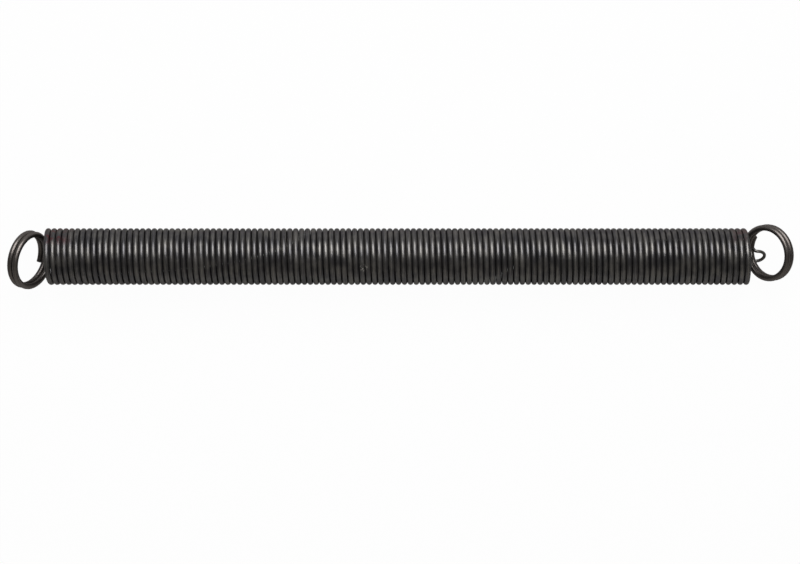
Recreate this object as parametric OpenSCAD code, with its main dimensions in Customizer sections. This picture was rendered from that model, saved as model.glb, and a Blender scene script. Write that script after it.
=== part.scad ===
// Extension spring of oil-tempered wire with a two-turn loop folded out at each
// end, and a lighter spring with raised half loops lying in its bore.
// X runs along the springs and Z points up. The origin is the centre of the eye
// of the left loop, where the spring is hooked up.

/* [Main spring] */
// Wire diameter
wire_d = 5.2; // [4:0.02:6]
// Outside diameter of the coil
coil_od = 50.8; // [44:0.2:60]
// Whole turns between the two end arcs of the coil
coil_turns = 118; // [10:1:130]
// Gap between neighbouring turns
coil_gap = 0.06; // [0.03:0.01:0.4]

/* [Left loop] */
// Inside diameter of the eye
left_eye_d = 42; // [36:0.2:50]
// Angle from the coil's own plane to the loop's plane
left_fold = 34; // [10:1:80]
// Where the wire leaves the coil, in degrees past the coil's lowest point
left_leave = -25; // [-60:1:40]
// Straight wire between the coil and the loop
left_run = 6.2; // [1:0.1:15]
// Gap between the two turns of the loop
left_gap = 0.32; // [0.03:0.01:1]
// Wire past the second turn, in degrees
left_tail = 29; // [5:1:170]

/* [Right loop] */
// Inside diameter of the eye
right_eye_d = 41; // [36:0.2:50]
// Angle from the coil's own plane to the loop's plane
right_fold = 48; // [10:1:80]
// Where the wire leaves the coil, in degrees past the coil's lowest point
right_leave = 10; // [-60:1:40]
// Straight wire between the coil and the loop
right_run = 1.5; // [1:0.1:15]
// Gap between the two turns of the loop
right_gap = 0.06; // [0.03:0.01:1]
// Wire past the second turn, in degrees
right_tail = 33; // [5:1:170]

/* [Inner spring] */
// Wire diameter
inner_wire_d = 2.85; // [2:0.05:3.5]
// Outside diameter of the inner coil
inner_od = 17.6; // [14:0.2:24]
// Whole turns between its two end arcs
inner_turns = 140; // [10:1:200]
// Gap between neighbouring turns
inner_gap = 0.05; // [0.03:0.01:3]
// Mean radius of the bend from the coil into each half loop
inner_bend_r = 3; // [2:0.1:5]
// How far each half loop leans from upright, in degrees
inner_tilt = 36; // [0:1:60]
// How far its right half loop stands out past the last whole turn of the main coil
inner_out = 20.8; // [0:0.2:30]
// Clearance between the inner coil and the bore that it lies in
seat_gap = 0.15; // [0.05:0.01:1]

/* [Hidden] */

// Each second half turn is this much thinner, so that the faces where two half
// turns meet have rims of different size.
rim_step = 0.02;
// A knuckle at each fold joins the coil to its loop.
knuckle_over = 0.06;
knuckle_gap = 0.2;
// Turns that are joined together before the blocks are joined in a row
block_turns = 6;
// Turns of each end loop
loop_turns = 2;
smooth = 48;

coil_r = (coil_od - wire_d) / 2;
inner_r = (inner_od - inner_wire_d) / 2;

// Lengths that join faces are kept to whole microns.
function micron(x) = round(x * 1000) / 1000;

// A turn is two flat half turns that lean opposite ways. The lean makes the
// spacing between neighbouring turns the wire and the gap.
function lean(r, spacing) = asin(spacing / 4 / r);
function pitch(r, spacing) = micron(spacing / cos(lean(r, spacing)));
function arc_r(r, spacing) = micron(r / cos(lean(r, spacing)));

main_spacing = wire_d + coil_gap;
main_pitch = pitch(coil_r, main_spacing);
main_end = coil_turns * main_pitch / 2;

// The last arc of the main coil moves on a little faster than the turns, so that
// its knuckle and the straight wire beyond stay clear of the turn before.
function end_spacing(leave, run) =
    let (
        past = max(0, leave),
        closing = main_pitch / 2 / coil_r * sin(past) * run,
        apart = main_pitch + knuckle_over / 2 + closing
    )
    4 * apart / (1 + cos(past)) - main_pitch;

inner_spacing = inner_wire_d + inner_gap;
inner_end = inner_turns * pitch(inner_r, inner_spacing) / 2;

// The middle of an end loop's eye, from the end of the coil's last whole turn
function eye_middle(leave, fold, eye_d, gap, run) =
    let (
        spacing = end_spacing(leave, run),
        up = (eye_d + wire_d) / 2,
        out = loop_turns / 2 * pitch(up, wire_d + gap),
        folded = [out * cos(fold) + up * sin(fold), run, up * cos(fold) - out * sin(fold)],
        below = folded - [0, 0, arc_r(coil_r, spacing)],
        turned = [
            below.x,
            below.y * cos(leave) - below.z * sin(leave),
            below.y * sin(leave) + below.z * cos(leave)
        ],
        tip = lean(coil_r, spacing),
        along = turned.x * cos(tip) - turned.z * sin(tip) + pitch(coil_r, spacing) / 4
    )
    [along, turned.y, turned.x * sin(tip) + turned.z * cos(tip)];

left_middle = eye_middle(left_leave, left_fold, left_eye_d, left_gap, left_run);
left_eye = [micron(-main_end - left_middle.x), micron(-left_middle.y), micron(left_middle.z)];

// The inner spring lies at the bottom of the bore, placed by its right tip.
inner_tip = inner_end + pitch(inner_r, inner_spacing) / 4
    + (inner_bend_r + inner_r + inner_wire_d / 2) * cos(lean(inner_r, inner_spacing));
inner_centre = [
    micron(main_end + inner_out - inner_tip),
    0,
    micron(inner_od / 2 + seat_gap + wire_d / 2 - coil_r)
];

// One arc of wire about the X axis from the coil's lowest point, by +Y, upwards
module arc(r, d, angle)
    rotate([0, 90, 0])
        rotate_extrude(angle = angle, $fn = smooth) translate([r, 0]) circle(d = d, $fn = smooth);

// From the bottom up by +Y, moving on by half a pitch
module rising(r, spacing, d, angle = 180)
    translate([pitch(r, spacing) / 4, 0, 0])
        rotate([0, lean(r, spacing), 0]) arc(arc_r(r, spacing), d, angle);

// From the top down by -Y, moving on by half a pitch
module falling(r, spacing, d, angle = 180)
    translate([pitch(r, spacing) / 4, 0, 0])
        rotate([0, -lean(r, spacing), 0]) rotate([180, 0, 0]) arc(arc_r(r, spacing), d, angle);

// Whole turns from top to top
module turns(r, spacing, d, count)
    for (k = [0 : count - 1]) {
        translate([k * pitch(r, spacing), 0, 0]) falling(r, spacing, d - rim_step);
        translate([(k + 0.5) * pitch(r, spacing), 0, 0]) rising(r, spacing, d);
    }

// A row of turns, centred on the origin and joined up in blocks. Its children
// are its right and left ends, each drawn from the top of its last whole turn.
module coil(r, spacing, d, count) {
    blocks = ceil(count / block_turns);
    end = count * pitch(r, spacing) / 2;
    for (b = [0 : blocks - 1]) {
        translate([b * block_turns * pitch(r, spacing) - end, 0, 0])
            turns(r, spacing, d, min(block_turns, count - b * block_turns));
        if (b == blocks - 1) translate([end, 0, 0]) children(0);
        if (b == 0) rotate([0, 0, 180]) translate([end, 0, 0]) children(1);
    }
}

// The frame where the wire leaves the coil: the wire runs along +Y, and the
// coil's centre is towards +Z
module leaving(r, spacing, angle)
    translate([pitch(r, spacing) / 4, 0, 0]) rotate([0, -lean(r, spacing), 0])
        rotate([angle, 0, 0]) translate([0, 0, -arc_r(r, spacing)]) children();

// The turns of an end loop, starting at the origin along +Y
module loop(eye_d, gap, run, tail) {
    r = (eye_d + wire_d) / 2;
    spacing = wire_d + gap;
    step = pitch(r, spacing);
    translate([0, knuckle_gap, 0]) rotate([-90, 0, 0])
        cylinder(d = wire_d - rim_step, h = run - knuckle_gap, $fn = smooth);
    translate([0, run, r]) {
        for (k = [0 : loop_turns - 1]) translate([k * step, 0, 0]) {
            rising(r, spacing, wire_d);
            translate([step / 2, 0, 0]) falling(r, spacing, wire_d - rim_step);
        }
        translate([loop_turns * step, 0, 0]) rising(r, spacing, wire_d, tail);
    }
}

// The last arc of the coil, from the top of its last whole turn, and its loop
module coil_end(d, leave, fold, eye_d, gap, run, tail) {
    spacing = end_spacing(leave, run);
    shy = knuckle_gap / coil_r * 180 / PI;
    falling(coil_r, spacing, d, 180 + leave - shy);
    leaving(coil_r, spacing, leave) {
        sphere(d = wire_d + knuckle_over, $fn = smooth);
        rotate([0, fold, 0]) loop(eye_d, gap, run, tail);
    }
}

// The last arc of the inner coil, bent out along the coil, and a half loop
// whose other limb ends across the coil
module inner_coil_end(d) {
    r = arc_r(inner_r, inner_spacing);
    aside = atan(inner_bend_r / r);
    leave = -inner_tilt - aside;
    shy = knuckle_gap / inner_r * 180 / PI;
    bend_shy = knuckle_gap / inner_bend_r * 180 / PI;
    falling(inner_r, inner_spacing, d, 180 + leave - shy);
    leaving(inner_r, inner_spacing, leave) {
        sphere(d = inner_wire_d + knuckle_over, $fn = smooth);
        translate([inner_bend_r, 0, 0]) rotate([0, 0, 90])
            rotate_extrude(angle = 90 - bend_shy, $fn = smooth)
                translate([inner_bend_r, 0]) circle(d = inner_wire_d, $fn = smooth);
        translate([inner_bend_r, inner_bend_r, 0]) rotate([aside, 0, 0])
            translate([0, 0, inner_r]) rotate([90, 90, 0])
                rotate_extrude(angle = 180, $fn = smooth)
                    translate([inner_r, 0]) circle(d = inner_wire_d - rim_step, $fn = smooth);
    }
}

module main_spring() color([0.16, 0.15, 0.15]) translate(-left_eye)
    coil(coil_r, main_spacing, wire_d, coil_turns) {
        coil_end(wire_d - rim_step, right_leave, right_fold, right_eye_d, right_gap, right_run, right_tail);
        coil_end(wire_d, left_leave, left_fold, left_eye_d, left_gap, left_run, left_tail);
    }

module inner_spring() color([0.24, 0.22, 0.2]) translate(inner_centre - left_eye) rotate([180, 0, 0])
    coil(inner_r, inner_spacing, inner_wire_d, inner_turns) {
        inner_coil_end(inner_wire_d - rim_step);
        inner_coil_end(inner_wire_d);
    }

main_spring();
inner_spring();
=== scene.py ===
"""Looks of an extension spring of oil-tempered wire, with a lighter spring in its bore.

Each spring is one round wire swept along its own line: a true helix, the short
bend at each end and the loop beyond it. Lengths are in metres and angles in
degrees, in the frame of the solids, whose origin is the eye of the left loop.
"""
from math import asin, atan, cos, pi, radians, sin

import bpy
import numpy as np
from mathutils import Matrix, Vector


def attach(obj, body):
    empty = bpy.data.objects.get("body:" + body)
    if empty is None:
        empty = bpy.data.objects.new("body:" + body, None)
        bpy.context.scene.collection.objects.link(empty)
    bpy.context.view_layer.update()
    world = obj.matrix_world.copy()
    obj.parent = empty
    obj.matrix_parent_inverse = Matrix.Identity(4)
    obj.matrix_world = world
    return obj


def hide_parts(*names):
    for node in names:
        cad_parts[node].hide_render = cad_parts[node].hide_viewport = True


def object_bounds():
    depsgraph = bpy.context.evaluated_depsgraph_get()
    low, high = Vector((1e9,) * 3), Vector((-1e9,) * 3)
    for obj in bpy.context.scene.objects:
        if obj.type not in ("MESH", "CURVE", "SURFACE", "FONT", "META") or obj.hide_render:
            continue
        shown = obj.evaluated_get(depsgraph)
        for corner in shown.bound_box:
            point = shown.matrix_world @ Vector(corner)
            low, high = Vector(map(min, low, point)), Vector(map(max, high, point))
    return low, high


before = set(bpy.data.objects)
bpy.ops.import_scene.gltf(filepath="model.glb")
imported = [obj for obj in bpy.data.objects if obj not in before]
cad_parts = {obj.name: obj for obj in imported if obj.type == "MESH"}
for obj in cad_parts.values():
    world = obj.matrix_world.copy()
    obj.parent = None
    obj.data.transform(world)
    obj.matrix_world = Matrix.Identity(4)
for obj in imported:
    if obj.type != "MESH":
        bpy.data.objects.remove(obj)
cad_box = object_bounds()

MM = 0.001
X, Y, Z = 0, 1, 2

# The main spring, as its solid has it
WIRE_D = 5.2 * MM
COIL_OD = 50.8 * MM
COIL_TURNS = 118
COIL_GAP = 0.06 * MM
KNUCKLE_OVER = 0.06 * MM
LEFT_LOOP = {"eye_d": 42 * MM, "fold": 34, "leave": -25, "run": 6.2 * MM, "gap": 0.32 * MM, "tail": 29}
RIGHT_LOOP = {"eye_d": 41 * MM, "fold": 48, "leave": 10, "run": 1.5 * MM, "gap": 0.06 * MM, "tail": 33}
LOOP_TURNS = 2

# The inner spring
INNER_WIRE_D = 2.85 * MM
INNER_OD = 17.6 * MM
INNER_TURNS = 140
INNER_GAP = 0.05 * MM
INNER_BEND_R = 3 * MM
INNER_TILT = 36
INNER_OUT = 20.8 * MM
SEAT_GAP = 0.15 * MM

# How finely each wire is drawn: rings of faces to a turn, and sides to a ring
MAIN_RINGS, MAIN_SIDES = 46, 16
INNER_RINGS, INNER_SIDES = 28, 12
BEND_RINGS = 10
HALF_LOOP_RINGS = 26

# The camera looks straight down. Its place is counted from the middle of the coil.
CAMERA_HEIGHT = 2.2
CAMERA_ASIDE = 2.46 * MM
CAMERA_BELOW = 22.8 * MM
FOCAL_LENGTH_MM = 110.6

# The lamp leans from straight above towards +Y.
LAMP_ANGLE = 32
LAMP_DISTANCE = 1.3
LAMP_SIZE = (1.3, 1.0)
LAMP_WATTS = 29

# The room's light: its least, its most beside the spring, and what is lost on the
# far side and towards both ends
ROOM_LEAST = 0.05
ROOM_MOST = 0.61
FAR_SIDE_LOSS = 0.16
ENDS_LOSS = 0.88

# How much of the floor's white is its own, to the camera and in reflections
OWN_WHITE_SEEN = 0.975
OWN_WHITE_REFLECTED = 0.3
FLOOR_REACH = 6.0

# Colours, as red, green, blue and alpha
MAIN_DARK, MAIN_WORN = (0.07, 0.068, 0.071, 1), (0.135, 0.129, 0.122, 1)
INNER_DARK, INNER_WORN = (0.075, 0.073, 0.07, 1), (0.15, 0.143, 0.136, 1)
LOOP_BROWN = (0.112, 0.098, 0.09, 1)
RED_PAINT = (0.13, 0.028, 0.034, 1)
PALE_SPECK = (0.62, 0.6, 0.56, 1)
BARE_NICK = (0.3, 0.295, 0.285, 1)
EDGE_TINT = (0.5, 0.49, 0.48, 1)
WARM_LIGHT, COOL_LIGHT = (1, 0.965, 0.88, 1), (0.97, 0.98, 1, 1)
WHITE, FLOOR_GREY = (1, 1, 1, 1), (0.5, 0.5, 0.5, 1)

# Places on the main spring, from the middle of its coil
SPECK_SPOT = (-30 * MM, -10.6 * MM, 23 * MM)
PAINTED_SIDE = 9 * MM


def smooth_step(x):
    """Rises from 0 to 1 as x does, level at both ends."""
    x = np.clip(x, 0, 1)
    return x * x * (3 - 2 * x)


def unit(rows):
    """Each row of vectors brought to length one."""
    return rows / np.linalg.norm(rows, axis=1, keepdims=True)


def turned(rows, axis, degrees):
    """Rows of vectors turned about one axis of the frame, right-handed."""
    a, b = (axis + 1) % 3, (axis + 2) % 3
    c, s = cos(radians(degrees)), sin(radians(degrees))
    out = rows.copy()
    out[:, a] = rows[:, a] * c - rows[:, b] * s
    out[:, b] = rows[:, a] * s + rows[:, b] * c
    return out


def columns(x, y, z):
    """Rows of vectors from three arrays or numbers, the numbers repeated."""
    return np.stack(np.broadcast_arrays(x, y, z), axis=-1).astype(float)


class Line:
    """The centre line of a stretch of wire, with a direction at each point that says
    which side of the wire faces outwards."""

    def __init__(self, points, outward):
        self.points, self.outward = points, outward

    def moved(self, x=0.0, y=0.0, z=0.0):
        return Line(self.points + np.array([x, y, z]), self.outward)

    def turned(self, axis, degrees):
        return Line(turned(self.points, axis, degrees), turned(self.outward, axis, degrees))

    def reversed(self):
        return Line(self.points[::-1], self.outward[::-1])

    def twisted(self, degrees):
        """Turns the outward direction about the wire by an angle for each point."""
        along = unit(np.gradient(self.points, axis=0))
        a = np.radians(degrees)[:, None]
        return Line(self.points, self.outward * np.cos(a) + np.cross(along, self.outward) * np.sin(a))


def joined(lines):
    """One line from several that follow each other. A point that two of them share
    is kept once."""
    points = [line.points[1:] if k else line.points for k, line in enumerate(lines)]
    outward = [line.outward[1:] if k else line.outward for k, line in enumerate(lines)]
    return Line(np.concatenate(points), np.concatenate(outward))


class Coil:
    """The sizes of a close-wound coil about the X axis, centred on the origin."""

    def __init__(self, outer_d, wire_d, spacing, turns=0):
        self.radius = (outer_d - wire_d) / 2
        self.lean = asin(spacing / 4 / self.radius)
        self.pitch = spacing / cos(self.lean)
        self.wide = self.radius / cos(self.lean)
        self.turns = turns
        self.end = turns * self.pitch / 2

    def advance(self, t, last, pitch):
        """How far along X a helix is at each angle t. Past the last whole turn it eases
        into a flat arc that leans by a quarter of the pitch given, up to the last angle."""
        whole = 2 * pi * self.turns
        past = np.clip(t - whole, 0, None)
        flat = pitch / 4 * (1 - np.cos(past)) - self.pitch * past / (2 * pi)
        return self.pitch * t / (2 * pi) + smooth_step(past / (last - whole)) * flat

    def line(self, left, right, rings):
        """A helix: x grows evenly with the angle t, y is minus sine and z cosine of t
        times the radius. Beyond the last whole turn at each end comes that end's arc."""
        first = -pi - radians(left.leave)
        last = 2 * pi * self.turns + pi + radians(right.leave)
        t = np.linspace(first, last, round((last - first) / (2 * pi) * rings) + 1)
        whole = 2 * pi * self.turns
        rightwards = self.advance(t, last, right.arc.pitch) - self.end
        leftwards = self.end - self.advance(whole - t, whole - first, left.arc.pitch)
        x = np.where(t > 0, rightwards, leftwards)
        outward = columns(0, -np.sin(t), np.cos(t))
        return Line(columns(x, -self.wide * np.sin(t), self.radius * np.cos(t)), outward)


class CoilEnd:
    """The right end of a coil: the last arc's sizes, where the wire leaves it, in degrees
    past the lowest point, and the line that it follows from there."""

    def __init__(self, arc, leave, line):
        self.arc, self.leave, self.beyond = arc, leave, line

    def placed(self, line, coil):
        """Takes a line from the frame where the wire leaves the coil, running along +Y
        with the coil's centre towards +Z, to the coil's right end."""
        at_rim = line.moved(z=-self.arc.wide).turned(X, self.leave)
        return at_rim.turned(Y, -np.degrees(self.arc.lean)).moved(x=coil.end + self.arc.pitch / 4)


def end_loop(eye_d, fold, run, gap, tail, **_):
    """A short straight run along +Y, then the turns and the tail of a helix that rises
    from it. The wire's outward side turns with the fold along the first quarter turn."""
    ring = Coil(eye_d + 2 * WIRE_D, WIRE_D, WIRE_D + gap, LOOP_TURNS)
    last = 2 * pi * LOOP_TURNS + radians(tail)
    t = np.linspace(0, last, round(last / (2 * pi) * MAIN_RINGS) + 1)
    x = ring.advance(t, last, ring.pitch)
    y = run + ring.wide * np.sin(t)
    z = ring.radius * (1 - np.cos(t))
    turns = Line(columns(x, y, z), columns(0, np.sin(t), -np.cos(t)))
    straight = Line(columns(0, np.linspace(0, run, 4), 0), columns(np.zeros(4), 0, -1))
    whole = joined([straight, turns])
    settled = smooth_step(np.arange(len(whole.points)) / (MAIN_RINGS / 4))
    return whole.twisted(-fold * (1 - settled)).turned(Y, fold)


def main_end(loop):
    """An end of the main coil. Its last arc moves on a little faster than the turns, so
    that the wire which leaves it stays clear of the turn before."""
    past = radians(max(0, loop["leave"]))
    closing = main_coil.pitch / 2 / main_coil.radius * sin(past) * loop["run"]
    apart = main_coil.pitch + KNUCKLE_OVER / 2 + closing
    arc = Coil(COIL_OD, WIRE_D, 4 * apart / (1 + cos(past)) - main_coil.pitch)
    return CoilEnd(arc, loop["leave"], end_loop(**loop))


def eye_middle(end, loop):
    """The middle of an end loop's eye, at the coil's right end."""
    ring = Coil(loop["eye_d"] + 2 * WIRE_D, WIRE_D, WIRE_D + loop["gap"])
    middle = Line(columns([ring.pitch * LOOP_TURNS / 2], loop["run"], ring.radius), columns([0], 0, 1))
    return end.placed(middle.turned(Y, loop["fold"]), main_coil).points[0]


def half_loop(coil, aside):
    """A quarter circle from along the coil's rim to along its axis, then a half circle
    of the coil's own radius that stands out along the axis."""
    t = np.linspace(0, pi / 2, BEND_RINGS)
    bend = Line(columns(1 - np.cos(t), np.sin(t), 0) * INNER_BEND_R, columns(0 * t, 0, -1))
    bend = bend.twisted(aside * smooth_step(t / (pi / 2)))
    t = np.linspace(0, pi, HALF_LOOP_RINGS)
    arch = Line(columns(np.sin(t), 0, 1 - np.cos(t)) * coil.radius, columns(np.sin(t), 0, -np.cos(t)))
    return joined([bend, arch.turned(X, aside).moved(x=INNER_BEND_R, y=INNER_BEND_R)])


def whole_spring(coil, left, right, rings):
    """The left end, the coil and the right end as one line. Each end is drawn at the
    right, and the left one is turned half a turn about Z."""
    left_part = left.placed(left.beyond, coil).turned(Z, 180).reversed()
    return joined([left_part, coil.line(left, right, rings), right.placed(right.beyond, coil)])


def swept_wire(name, line, wire_d, sides):
    """Round wire along a line, as a grid of rings: each ring is a circle about the
    line's point, counted from its outward side. Both ends are cut square, with the
    edge broken, and closed by a fan. The UV map holds the length along the wire in
    metres and the part of the way round it."""
    along = unit(np.gradient(line.points, axis=0))
    across = unit(np.cross(along, line.outward))
    outward = np.cross(across, along)
    radius = wire_d / 2
    broken = 0.16 * radius
    centres = np.concatenate([line.points[:1], line.points, line.points[-1:]])
    centres[1] += along[0] * broken
    centres[-2] -= along[-1] * broken
    spread = np.full(len(centres), radius)
    spread[[0, -1]] -= broken
    grab = np.r_[0, 0:len(along), len(along) - 1]
    a = np.linspace(0, 2 * pi, sides, endpoint=False)
    circle = np.cos(a)[:, None] * outward[grab][:, None] + np.sin(a)[:, None] * across[grab][:, None]
    rings = centres[:, None] + spread[:, None, None] * circle
    verts = np.concatenate([rings.reshape(-1, 3), line.points[[0, -1]]])
    count = len(centres)
    i, j = np.meshgrid(np.arange(count - 1), np.arange(sides), indexing="ij")
    i, j = i.ravel(), j.ravel()
    after = (j + 1) % sides
    quads = np.stack([i * sides + j, i * sides + after, (i + 1) * sides + after, (i + 1) * sides + j], -1)
    k = np.arange(sides)
    next_k = (k + 1) % sides
    start, stop = count * sides, count * sides + 1
    last_ring = (count - 1) * sides
    caps = np.concatenate([
        np.stack([next_k, k, np.full(sides, start)], -1),
        np.stack([last_ring + k, last_ring + next_k, np.full(sides, stop)], -1),
    ])
    mesh = bpy.data.meshes.new(name)
    mesh.from_pydata(verts.tolist(), [], quads.tolist() + caps.tolist())
    length = np.r_[0, np.cumsum(np.linalg.norm(np.diff(centres, axis=0), axis=1))]
    quad_uv = np.stack([
        np.stack([length[i], j / sides], -1), np.stack([length[i], (j + 1) / sides], -1),
        np.stack([length[i + 1], (j + 1) / sides], -1), np.stack([length[i + 1], j / sides], -1),
    ], 1).reshape(-1, 2)
    cap_uv = np.stack([np.repeat(length[[0, -1]], 3 * sides), np.tile(np.repeat(k / sides, 3), 2)], -1)
    uv = mesh.uv_layers.new(name="along_wire")
    uv.data.foreach_set("uv", np.concatenate([quad_uv, cap_uv]).astype(np.float32).ravel())
    mesh.polygons.foreach_set("use_smooth", np.ones(len(mesh.polygons), bool))
    mesh.set_sharp_from_angle(angle=radians(35))
    mesh.validate()
    piece = bpy.data.objects.new(name, mesh)
    bpy.context.scene.collection.objects.link(piece)
    return piece


class Field:
    """A number or colour that varies over a surface. Sums, differences and products
    add the nodes that work them out."""

    def __init__(self, finish, socket):
        self.finish, self.socket = finish, socket

    def math(self, operation, *others):
        values = dict(enumerate((self, *others)))
        return self.finish.node("ShaderNodeMath", {"operation": operation}, values)

    def __add__(self, other):
        return self.math("ADD", other)

    def __sub__(self, other):
        return self.math("SUBTRACT", other)

    def __rsub__(self, other):
        return (self * -1).math("ADD", other)

    def __mul__(self, other):
        return self.math("MULTIPLY", other)

    __radd__ = __add__
    __rmul__ = __mul__


class Finish:
    """A material or a world in the making. node() adds any node and returns its output."""

    def __init__(self, owner):
        owner.use_nodes = True
        self.tree = owner.node_tree
        self.tree.nodes.clear()

    def done(self, kind, shader):
        """Shows the shader as the surface."""
        self.tree.links.new(shader.socket, self.tree.nodes.new(kind).inputs["Surface"])

    def node(self, kind, settings, inputs, output=0):
        made = self.tree.nodes.new(kind)
        for key, value in settings.items():
            setattr(made, key, value)
        for key, value in inputs.items():
            if isinstance(value, Field):
                self.tree.links.new(value.socket, made.inputs[key])
            else:
                made.inputs[key].default_value = value
        return Field(self, made.outputs[output])

    def noise(self, place, scale, detail=2.0, rough=0.5):
        """Cloudy noise about 0.5 at a place, with so many patches to the unit."""
        inputs = {"Vector": place, "Scale": scale, "Detail": detail, "Roughness": rough}
        return self.node("ShaderNodeTexNoise", {}, inputs)

    def part(self, vector, axis):
        """One of the three numbers of a place or a direction."""
        return self.node("ShaderNodeSeparateXYZ", {}, {0: vector}, output=axis)

    def above(self, value, low, high):
        """Rises smoothly from 0 to 1 as the value goes from low to high."""
        sizes = {"Value": value, "From Min": low, "From Max": high}
        return self.node("ShaderNodeMapRange", {"interpolation_type": "SMOOTHSTEP"}, sizes)

    def between(self, factor, first, second):
        """A colour on the way from the first to the second."""
        inputs = {0: factor, 6: first, 7: second}
        return self.node("ShaderNodeMix", {"data_type": "RGBA"}, inputs, output=2)

    def stretched(self, place, scale):
        """A place with each of its axes scaled by itself."""
        return self.node("ShaderNodeVectorMath", {"operation": "MULTIPLY"}, {0: place, 1: scale})


def marked(finish, place, colour, left, right, painted_side, speck_spot):
    """A colour with the main spring's own marks: browner loops past both ends of the coil,
    patches of old red paint on the far side of its first turns, fainter at the right end,
    and a few pale specks round one spot."""
    x = finish.part(place, X)
    past_right = finish.above(x, right + 2 * MM, right + 10 * MM)
    past_left = 1 - finish.above(x, left - 12 * MM, left - 4 * MM)
    colour = finish.between((past_left + past_right) * 0.75, colour, LOOP_BROWN)
    at_left = finish.above(x, left - 6 * MM, left) * (1 - finish.above(x, left + 8 * MM, left + 26 * MM))
    at_right = finish.above(x, right - 20 * MM, right - 6 * MM) * (1 - finish.above(x, right, right + 6 * MM))
    on_far_side = finish.above(finish.part(place, Y), painted_side, painted_side + 7 * MM)
    patches = finish.above(finish.noise(place, 150), 0.42, 0.6) * on_far_side
    colour = finish.between((at_left * 0.6 + at_right * 0.25) * patches, colour, RED_PAINT)
    away = finish.node("ShaderNodeVectorMath", {"operation": "DISTANCE"}, {0: place, 1: speck_spot}, output=1)
    grains = finish.above(finish.noise(place, 700), 0.55, 0.61)
    return finish.between((1 - finish.above(away, 2 * MM, 4.5 * MM)) * grains, colour, PALE_SPECK)


def tempered_wire(name, dark, worn, marks=None):
    """Drawn wire with the dark skin that oil tempering leaves: streaks along the wire,
    cloudy worn patches, a gloss that differs from turn to turn, and small bright nicks.
    marks says where the main spring's own marks lie."""
    material = bpy.data.materials.new(name)
    finish = Finish(material)
    place = finish.node("ShaderNodeTexCoord", {}, {}, output="Object")
    wire = finish.node("ShaderNodeUVMap", {"uv_map": "along_wire"}, {})
    streaks = finish.noise(finish.stretched(wire, (22, 11, 1)), 1.0, detail=3)
    by_turn = finish.noise(finish.stretched(wire, (9, 0.6, 1)), 1.0, detail=1)
    clouds = finish.noise(place, 85, detail=4, rough=0.6)
    grit = finish.noise(place, 900, detail=2)
    worn_part = finish.above(clouds * 0.55 + streaks * 0.45, 0.42, 0.62)
    colour = finish.between(worn_part, dark, worn)
    flecks = finish.node("ShaderNodeTexVoronoi", {}, {"Vector": place, "Scale": 330})
    nick = (1 - finish.above(flecks, 0.05, 0.1)) * finish.above(finish.noise(place, 40), 0.68, 0.72)
    colour = finish.between(nick, colour, BARE_NICK)
    if marks:
        colour = marked(finish, place, colour, **marks)
    rough = 0.36 + (by_turn - 0.5) * 0.34 + (clouds - 0.5) * 0.16 + worn_part * 0.04
    height = streaks * 0.5 + clouds * 0.7 + grit * 0.22
    bump = finish.node("ShaderNodeBump", {}, {"Strength": 0.32, "Distance": 0.4 * MM, "Height": height})
    varying = {"Base Color": colour, "Roughness": rough, "Normal": bump}
    uniform = {"Metallic": 0.9, "Specular IOR Level": 0.3, "Specular Tint": EDGE_TINT}
    shader = finish.node("ShaderNodeBsdfPrincipled", {}, {**varying, **uniform})
    finish.done("ShaderNodeOutputMaterial", shader)
    return material


def white_floor(low, middle):
    """A wide pale floor at the height of the lowest wire. To the camera most of its white
    is its own, and in reflections a third of it, so the shadow on it stays faint."""
    signs = ((-1, -1), (1, -1), (1, 1), (-1, 1))
    corners = [(middle[0] + i * FLOOR_REACH, middle[1] + j * FLOOR_REACH, low) for i, j in signs]
    mesh = bpy.data.meshes.new("floor")
    mesh.from_pydata(corners, [], [(0, 1, 2, 3)])
    floor = bpy.data.objects.new("floor", mesh)
    bpy.context.scene.collection.objects.link(floor)
    material = bpy.data.materials.new("floor_white")
    finish = Finish(material)
    shares = {
        "Is Camera Ray": OWN_WHITE_SEEN,
        "Is Glossy Ray": OWN_WHITE_REFLECTED,
        "Is Transmission Ray": OWN_WHITE_REFLECTED,
    }
    rays = [finish.node("ShaderNodeLightPath", {}, {}, output=ray) * share for ray, share in shares.items()]
    own_white = sum(rays).math("MINIMUM", 1)
    matt = finish.node("ShaderNodeBsdfDiffuse", {}, {"Color": FLOOR_GREY})
    glow = finish.node("ShaderNodeEmission", {}, {"Color": WHITE, "Strength": 1.0})
    shader = finish.node("ShaderNodeMixShader", {}, {0: own_white, 1: matt, 2: glow})
    finish.done("ShaderNodeOutputMaterial", shader)
    mesh.materials.append(material)


def studio_world():
    """A room that is dark straight above and to both ends of the spring, and light
    towards the horizon beside it: a little dimmer and cooler on the +Y side."""
    world = bpy.data.worlds.new("studio")
    bpy.context.scene.world = world
    finish = Finish(world)
    way = finish.node("ShaderNodeTexCoord", {}, {}, output="Generated")
    towards_ends = finish.above(finish.part(way, X).math("ABSOLUTE"), 0.03, 0.7)
    far_side = finish.above(finish.part(way, Y), -0.3, 0.3)
    overhead = finish.above(finish.part(way, Z), 0.5, 0.97)
    beside = (1 - ENDS_LOSS * towards_ends) * (ROOM_MOST - FAR_SIDE_LOSS * far_side)
    level = ROOM_LEAST + (1 - overhead) * beside
    tint = finish.between(far_side, WARM_LIGHT, COOL_LIGHT)
    glow = finish.node("ShaderNodeBackground", {}, {"Color": tint, "Strength": level})
    finish.done("ShaderNodeOutputWorld", glow)


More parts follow.
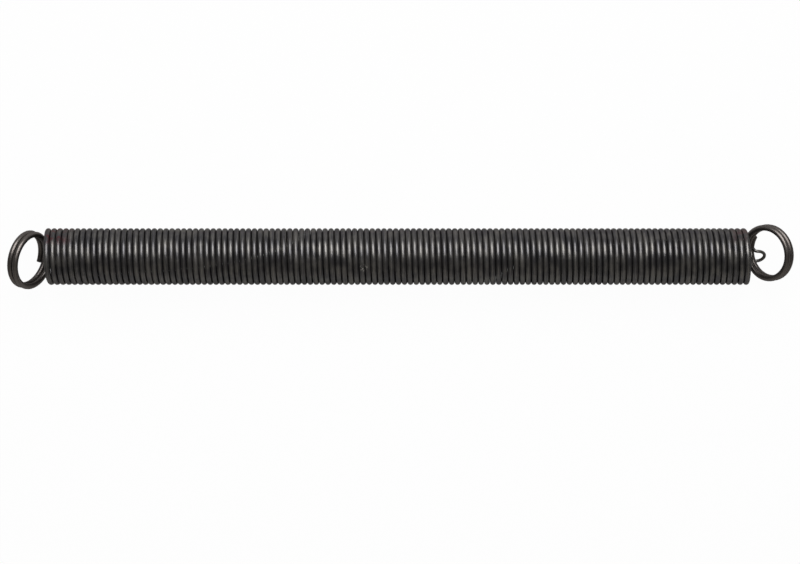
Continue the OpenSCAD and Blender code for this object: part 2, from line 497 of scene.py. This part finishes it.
def soft_lamp(middle):
    """A large soft lamp over the spring that faces it."""
    lamp = bpy.data.lights.new("key_lamp", "AREA")
    lamp.shape = "RECTANGLE"
    lamp.size, lamp.size_y = LAMP_SIZE
    lamp.energy = LAMP_WATTS
    piece = bpy.data.objects.new("key_lamp", lamp)
    a = radians(LAMP_ANGLE)
    piece.location = middle + LAMP_DISTANCE * np.array([0, sin(a), cos(a)])
    piece.rotation_euler = (-a, 0, 0)
    bpy.context.scene.collection.objects.link(piece)


def camera_above(middle):
    """The photograph's view: straight down, the spring a little above the middle."""
    data = bpy.data.cameras.new("camera")
    data.lens = FOCAL_LENGTH_MM
    data.sensor_width = 36
    camera = bpy.data.objects.new("camera", data)
    camera.location = (middle[0] + CAMERA_ASIDE, middle[1] - CAMERA_BELOW, middle[2] + CAMERA_HEIGHT)
    bpy.context.scene.collection.objects.link(camera)
    bpy.context.scene.camera = camera


main_coil = Coil(COIL_OD, WIRE_D, WIRE_D + COIL_GAP, COIL_TURNS)
inner_coil = Coil(INNER_OD, INNER_WIRE_D, INNER_WIRE_D + INNER_GAP, INNER_TURNS)

# The left eye is the origin, and the left end is the right one turned about Z.
left_end, right_end = main_end(LEFT_LOOP), main_end(RIGHT_LOOP)
left_eye = eye_middle(left_end, LEFT_LOOP) * (-1, -1, 1)
middle = -left_eye

main_line = whole_spring(main_coil, left_end, right_end, MAIN_RINGS).moved(*middle)
main_spring = swept_wire("main_wire", main_line, WIRE_D, MAIN_SIDES)

# The inner spring lies at the bottom of the bore, placed by its right tip.
aside = np.degrees(atan(INNER_BEND_R / inner_coil.wide))
inner_end = CoilEnd(inner_coil, -INNER_TILT - aside, half_loop(inner_coil, aside))
reach = (INNER_BEND_R + inner_coil.radius + INNER_WIRE_D / 2) * cos(inner_coil.lean)
inner_x = main_coil.end + INNER_OUT - inner_coil.end - inner_coil.pitch / 4 - reach
inner_z = INNER_OD / 2 + SEAT_GAP + WIRE_D / 2 - main_coil.radius
inner_line = whole_spring(inner_coil, inner_end, inner_end, INNER_RINGS)
inner_line = inner_line.turned(X, 180).moved(inner_x, 0, inner_z).moved(*middle)
inner_spring = swept_wire("inner_wire", inner_line, INNER_WIRE_D, INNER_SIDES)

marks = {
    "left": middle[0] - main_coil.end,
    "right": middle[0] + main_coil.end,
    "painted_side": middle[1] + PAINTED_SIDE,
    "speck_spot": middle + SPECK_SPOT,
}
main_finish = tempered_wire("tempered_wire", MAIN_DARK, MAIN_WORN, marks)
inner_finish = tempered_wire("inner_tempered_wire", INNER_DARK, INNER_WORN)

for piece, node, slot, finish in (
    (main_spring, "main_spring", "main_wire", main_finish),
    (inner_spring, "inner_spring", "inner_wire", inner_finish),
):
    piece.data.materials.append(finish)
    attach(piece, "root")
    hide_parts(node)

white_floor(cad_box[0][2], middle)
studio_world()
soft_lamp(middle)
camera_above(middle)

scene = bpy.context.scene
scene.view_settings.view_transform = "Standard"
